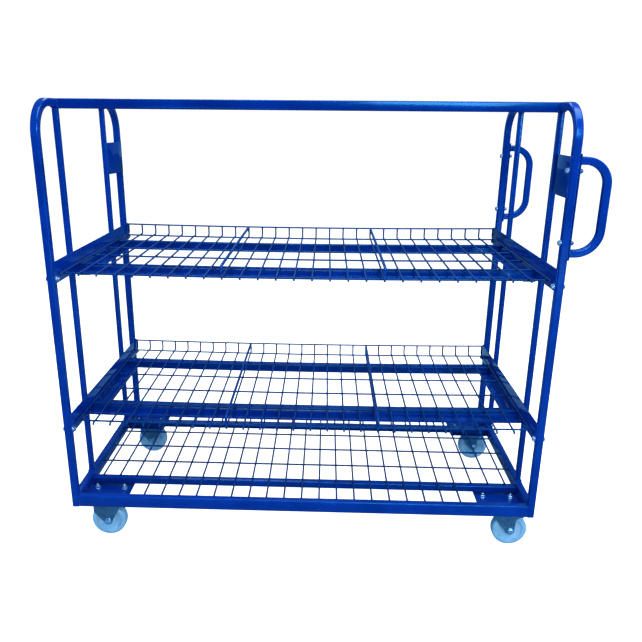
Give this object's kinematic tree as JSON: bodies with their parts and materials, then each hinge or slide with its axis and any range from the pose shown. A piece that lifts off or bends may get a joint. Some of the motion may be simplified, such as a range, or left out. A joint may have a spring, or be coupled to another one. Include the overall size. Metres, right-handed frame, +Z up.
{
  "type": "plant trolley",
  "caption": "Blue steel tube trolley with a mesh base, bolted wire shelves with upstands, push handles at one end, and fixed and swivel castors.",
  "frame": {"origin": "middle of the whole trolley's footprint, handles included, on the floor under the wheels", "axes": "+X along the length towards the handle end, +Y from the front to the back, +Z up"},
  "size_m": [1.3816, 0.65, 1.225],
  "materials": {
    "powder_coat": "glossy royal blue powder coat with a slight orange peel",
    "zinc_plate": "bright zinc plate, slightly dulled on the forks",
    "nylon": "natural white nylon with a fine moulded texture"
  },
  "bodies": {
    "frame": {"left_end_hoop": "powder_coat", "right_end_hoop": "powder_coat", "left_front_upright": "powder_coat", "left_back_upright": "powder_coat", "right_front_upright": "powder_coat", "right_back_upright": "powder_coat", "top_rail": "powder_coat", "right_end_plate": "powder_coat", "left_end_plate": "powder_coat", "base_front_rail": "powder_coat", "base_back_rail": "powder_coat", "base_left_rail": "powder_coat", "base_right_rail": "powder_coat", "base_inner_front_rail": "powder_coat", "base_inner_back_rail": "powder_coat", "castor_plate_front_left": "powder_coat", "castor_plate_front_right": "powder_coat", "castor_plate_back_left": "powder_coat", "castor_plate_back_right": "powder_coat", "base_mesh": "powder_coat", "upper_front_rail": "powder_coat", "upper_back_rail": "powder_coat", "upper_deck": "powder_coat", "upper_upstand": "powder_coat", "upper_left_angle": "powder_coat", "upper_right_angle": "powder_coat", "upper_left_divider": "powder_coat", "upper_right_divider": "powder_coat", "lower_front_rail": "powder_coat", "lower_back_rail": "powder_coat", "lower_deck": "powder_coat", "lower_upstand": "powder_coat", "lower_left_angle": "powder_coat", "lower_right_angle": "powder_coat", "lower_left_divider": "powder_coat", "lower_right_divider": "powder_coat", "front_handle": "powder_coat", "back_handle": "powder_coat", "front_handle_bolt_low": "zinc_plate", "front_handle_bolt_high": "zinc_plate", "back_handle_bolt_low": "zinc_plate", "back_handle_bolt_high": "zinc_plate", "swivel_plate_front_right": "zinc_plate", "swivel_plate_back_right": "zinc_plate", "fork_front_left": "zinc_plate", "fork_back_left": "zinc_plate", "axle_front_left": "zinc_plate", "axle_back_left": "zinc_plate"},
    "castor_front_right": {"fork_front_right": "zinc_plate", "axle_front_right": "zinc_plate"},
    "wheel_front_right": {"wheel_front_right": "nylon"},
    "wheel_front_left": {"wheel_front_left": "nylon"},
    "castor_back_right": {"fork_back_right": "zinc_plate", "axle_back_right": "zinc_plate"},
    "wheel_back_right": {"wheel_back_right": "nylon"},
    "wheel_back_left": {"wheel_back_left": "nylon"}
  },
  "joints": [
    {"name": "front_right_castor_swivel", "type": "hinge", "parent": "frame", "child": "castor_front_right", "pos_m": [0.52725, -0.2595, 0.113], "axis": [0, 0, 1], "continuous": true},
    {"name": "front_right_wheel_spin", "type": "hinge", "parent": "castor_front_right", "child": "wheel_front_right", "pos_m": [0.56225, -0.2595, 0.05], "axis": [0, 1, 0], "continuous": true},
    {"name": "front_left_wheel_spin", "type": "hinge", "parent": "frame", "child": "wheel_front_left", "pos_m": [-0.60875, -0.2595, 0.05], "axis": [0, 1, 0], "continuous": true},
    {"name": "back_right_castor_swivel", "type": "hinge", "parent": "frame", "child": "castor_back_right", "pos_m": [0.52725, 0.247, 0.113], "axis": [0, 0, 1], "continuous": true},
    {"name": "back_right_wheel_spin", "type": "hinge", "parent": "castor_back_right", "child": "wheel_back_right", "pos_m": [0.56225, 0.247, 0.05], "axis": [0, 1, 0], "continuous": true},
    {"name": "back_left_wheel_spin", "type": "hinge", "parent": "frame", "child": "wheel_back_left", "pos_m": [-0.60875, 0.247, 0.05], "axis": [0, 1, 0], "continuous": true}
  ]
}
